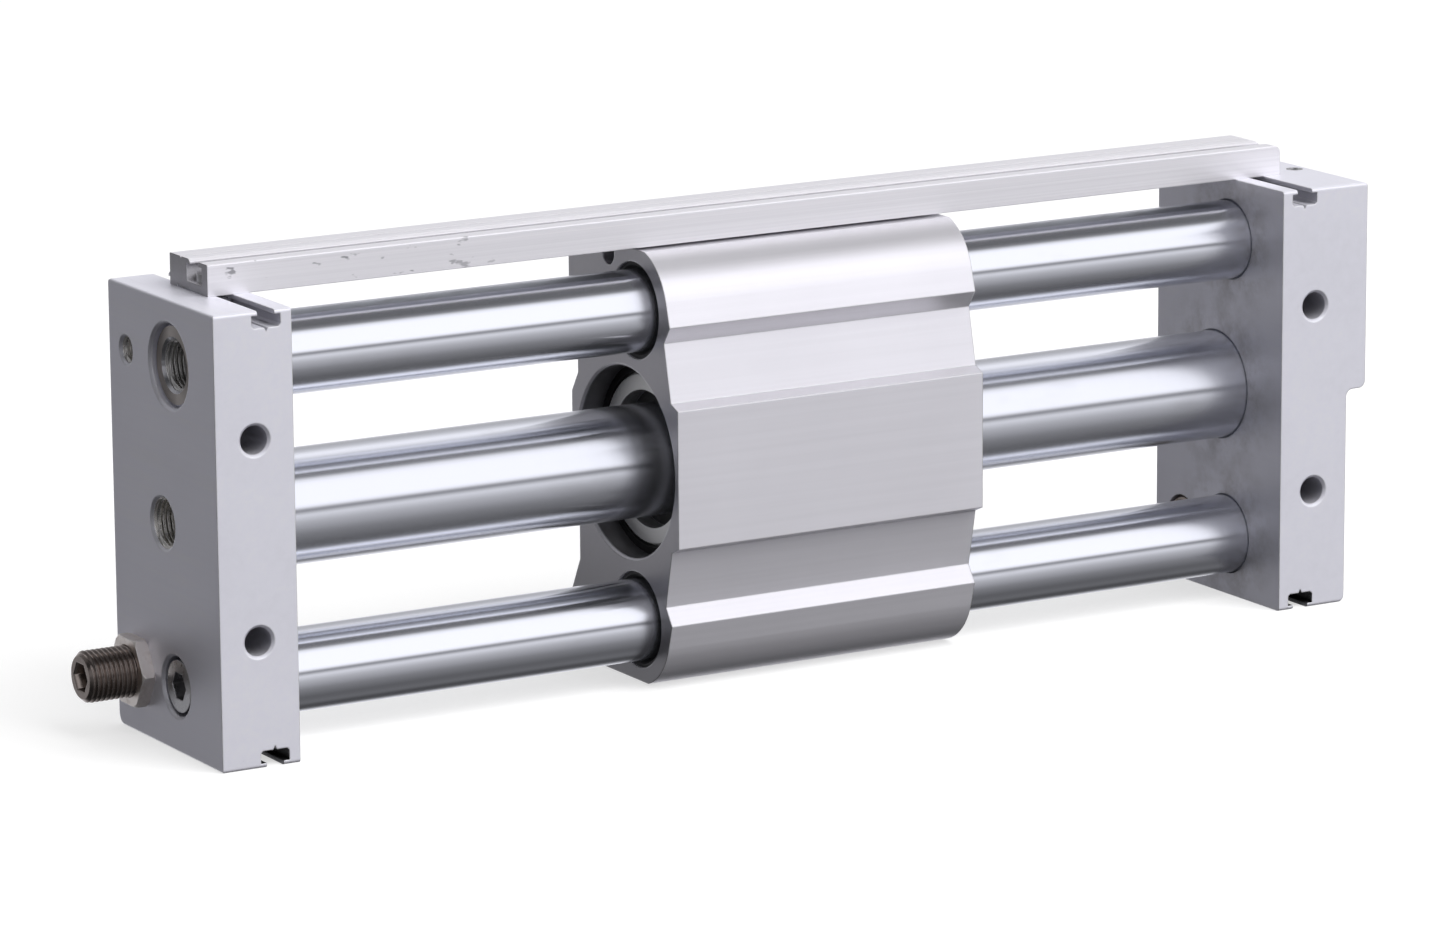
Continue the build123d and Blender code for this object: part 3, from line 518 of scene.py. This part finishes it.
def thread_radius(thread, x, angle):
    """Radius of a right-hand thread at a place along X and an angle."""
    phase = (x / thread.pitch - angle / tau) % 1.0
    flank = min(1.0, max(0.0, abs(2 * phase - 1) * FLANK_SLOPE - ROOT_FLAT))
    return thread.root + (thread.crest - thread.root) * flank


def along_thread(thread, length):
    """Places along a thread, from 0 to its length."""
    steps = round(length / thread.pitch * STEPS_PER_PITCH)
    return [length * step / steps for step in range(steps + 1)]


def smooth(piece):
    """Smooth shading with sharp edges kept."""
    piece.data.shade_smooth()
    piece.data.set_sharp_from_angle(angle=radians(CREASE))


def stop_bolt(side, word, material):
    """Threaded stop bolt with a hexagon socket, in the place of its plain node."""
    low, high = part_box(word + "_stop_bolt")
    centre = (low + high) / 2
    nose, tail = (high.x, low.x) if side < 0 else (low.x, high.x)
    length = abs(tail - nose)
    bevelled = BOLT_THREAD.crest - BOLT_BEVEL

    def turns(along):
        limit = bevelled + min(along, length - along)
        return circle(along, lambda angle: min(limit, thread_radius(BOLT_THREAD, along, angle)))

    rings = [circle(SEAT_DEPTH, radius) for radius in SEAT_RADII]
    rings.append(circle(0.0, SEAT_RADII[-1]))
    rings += [turns(along) for along in along_thread(BOLT_THREAD, length)]
    rings += [
        circle(length, bevelled - TAIL_LIP),
        circle(length, hexagon(SOCKET_MOUTH)),
        circle(length - SOCKET_CHAMFER, hexagon(SOCKET_FLATS)),
        circle(length - SOCKET_WALL, hexagon(SOCKET_FLATS)),
        circle(length - SOCKET_DEPTH, SOCKET_TIP),
    ]
    piece = ring_surface(word + "_threaded_bolt", rings, False, material)
    turn = Matrix.Rotation(pi, 4, "Z") if side < 0 else Matrix.Identity(4)
    piece.data.transform(Matrix.Translation((nose, centre.y, centre.z)) @ turn)
    smooth(piece)
    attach(piece, word + "_stop")
    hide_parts(word + "_stop_bolt")


def tapped_wall(name, thread, mouth, inward, depth, material, body):
    """Ridges of a tapped hole, on the wall of its plain bore. mouth is the centre of its mouth."""
    wall, ridge = thread.crest, thread.root

    def turns(along):
        floor = wall - max(0.0, along - TAP_LAND) * (wall - ridge) / TAP_LEAD
        return circle(along, lambda angle: max(
            floor, wall + ridge - thread_radius(thread, along, angle) + TAP_CLEARANCE))

    rings = [circle(0.0, wall + TAP_BURIED), circle(0.0, wall)]
    rings += [turns(along) for along in along_thread(thread, depth)[1:]]
    rings.append(circle(depth, wall + TAP_BURIED))
    piece = ring_surface(name, rings, True, material)
    way = Vector(inward).to_track_quat("X", "Z").to_matrix().to_4x4()
    piece.data.transform(Matrix.Translation(mouth) @ way)
    smooth(piece)
    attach(piece, body)


def tapped_holes(materials):
    """Threads of the ports, the earth hole and the load holes, at the record's mounts."""
    mounts = {mount["name"]: mount for mount in frame["record"]["mounts"]}
    plate_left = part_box("port_plate")[0].x
    rod_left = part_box("hollow_guide_rod")[0].x
    for name, thread, left, finish, slot_name in (
            ("tube_port", PORT_THREAD, plate_left, "cut_aluminium", "anodised_plate"),
            ("rod_port", PORT_THREAD, rod_left, "turned_steel", "hard_chrome"),
            ("earth_hole", M5_THREAD, plate_left, "cut_aluminium", "anodised_plate")):
        mount = mounts[name]
        mouth = Vector(mount["pos_m"])
        mouth.x = left + MOUTH_BEVEL
        inward = -Vector(mount["axis"])
        depth = mount["dims"]["length_mm"] * MM
        tapped_wall(name + "_thread", thread, mouth, inward, depth, materials[finish], "frame")
    load = mounts["load_bolts"]
    half_x = load["dims"]["spacing_x_mm"] * MM / 2
    half_z = load["dims"]["spacing_y_mm"] * MM / 2
    for column, column_letter in ((-1, "l"), (1, "h")):
        for row, row_letter in ((-1, "b"), (1, "t")):
            name = "load_thread_" + column_letter + row_letter
            mouth = Vector(load["pos_m"]) + Vector((column * half_x, 0, row * half_z))
            tapped_wall(name, M5_THREAD, mouth, (0, -1, 0), LOAD_THREAD_DEPTH, materials["anodised_block"],
                        "slider")


def make_camera():
    """Camera at the photograph's viewing angle."""
    azimuth, elevation, roll = radians(VIEW_AZIMUTH), radians(VIEW_ELEVATION), radians(VIEW_ROLL)
    back = Vector((sin(azimuth) * cos(elevation), -cos(azimuth) * cos(elevation), sin(elevation)))
    level = Vector((cos(azimuth), sin(azimuth), 0))
    upward = back.cross(level)
    right = level * cos(roll) + upward * sin(roll)
    up = upward * cos(roll) - level * sin(roll)
    data = bpy.data.cameras.new("camera")
    data.sensor_width = SENSOR_WIDTH
    data.lens = VIEW_LENS
    data.clip_end = VIEW_CLIP
    camera = new_object("camera", data)
    turn = Matrix((right, up, back)).transposed().to_4x4()
    camera.matrix_world = Matrix.Translation(VIEW_AIM + back * VIEW_DISTANCE) @ turn
    bpy.context.scene.camera = camera


def make_studio():
    """World: white to the camera, a soft light on matt surfaces, and a studio with a softbox in the metal."""
    world = bpy.data.worlds.new("studio")
    bpy.context.scene.world = world
    world.use_nodes = True
    graph = Graph(world.node_tree)
    way = graph.split(graph.add("TexCoord").outputs["Generated"])
    angle = graph.math("ARCTAN2", way["Z"], graph.times(way["Y"], -1.0))
    stops = [((degrees_up + 180) / 360, level) for degrees_up, level in STUDIO]
    room = graph.ramp(graph.between(angle, -pi, pi), stops)
    tinted = graph.add("VectorMath", {"operation": "MULTIPLY"}, {0: room, 1: STUDIO_TINT}).outputs["Vector"]
    room_level = graph.between(way["X"], *LEFT_FADE, 1.0, STUDIO_LEFT_LEVEL)
    soft_left = graph.between(way["X"], *LEFT_FADE, SOFT_LIGHT, SOFT_LIGHT * SOFT_LEFT_LEVEL)
    soft_low = graph.between(way["Z"], *LOW_FADE, SOFT_LOW_LEVEL, 1.0)

    def background(colour, strength):
        return graph.add("Background", None, {"Color": colour, "Strength": strength}).outputs[0]

    def either(factor, one, two):
        return graph.add("MixShader", None, {0: factor, 1: one, 2: two}).outputs[0]

    white = (1, 1, 1, 1)
    path = graph.add("LightPath").outputs
    soft = background(white, graph.times(soft_left, soft_low))
    lit = either(path["Is Glossy Ray"], soft, background(tinted, room_level))
    clear = graph.largest(path["Is Camera Ray"], path["Is Transmission Ray"])
    graph.add("OutputWorld", None, {"Surface": either(clear, lit, background(white, 1.0))})


def make_key_light():
    """Large soft lamp above the front, which gives the floor its faint shadow."""
    data = bpy.data.lights.new("key", "AREA")
    data.shape = "SQUARE"
    data.size = KEY_SIZE
    data.energy = KEY_POWER
    lamp = new_object("key", data)
    turn = KEY_PLACE.to_track_quat("Z", "Y").to_matrix().to_4x4()
    lamp.matrix_world = Matrix.Translation(KEY_PLACE) @ turn
    lamp.visible_glossy = False


def make_floor():
    """Plain floor, white to the camera. The studio's lower half stands for it in the metal."""
    half = FLOOR_SIZE / 2
    mesh = bpy.data.meshes.new("floor")
    corners = [(-half, -half, 0), (half, -half, 0), (half, half, 0), (-half, half, 0)]
    mesh.from_pydata(corners, [], [(0, 1, 2, 3)])
    material, graph, shader, place = new_material("floor_paper")
    path = graph.add("LightPath").outputs
    graph.put(shader.inputs["Base Color"], graph.mix(path["Is Diffuse Ray"], FLOOR_SEEN, FLOOR_BOUNCE))
    seen = graph.largest(path["Is Camera Ray"], path["Is Glossy Ray"], path["Is Transmission Ray"])
    shader.inputs["Emission Color"].default_value = (1, 1, 1, 1)
    graph.put(shader.inputs["Emission Strength"], graph.times(seen, FLOOR_GLOW))
    shader.inputs["Roughness"].default_value = 0.9
    shader.inputs["Specular IOR Level"].default_value = 0.1
    bumped(graph, shader, graph.noise(place, 900.0, detail=3.0, roughness=0.5), 0.05, 0.05 * MM)
    mesh.materials.append(material)
    floor = new_object("floor", mesh)
    floor.visible_glossy = False


def main():
    bpy.context.scene.view_settings.view_transform = "Standard"
    materials = make_materials()
    dress_nodes(materials)
    stop_bolt(-1, "left", materials["bolt_steel"])
    stop_bolt(1, "right", materials["bolt_steel"])
    tapped_holes(materials)
    make_camera()
    make_studio()
    make_key_light()
    make_floor()


main()
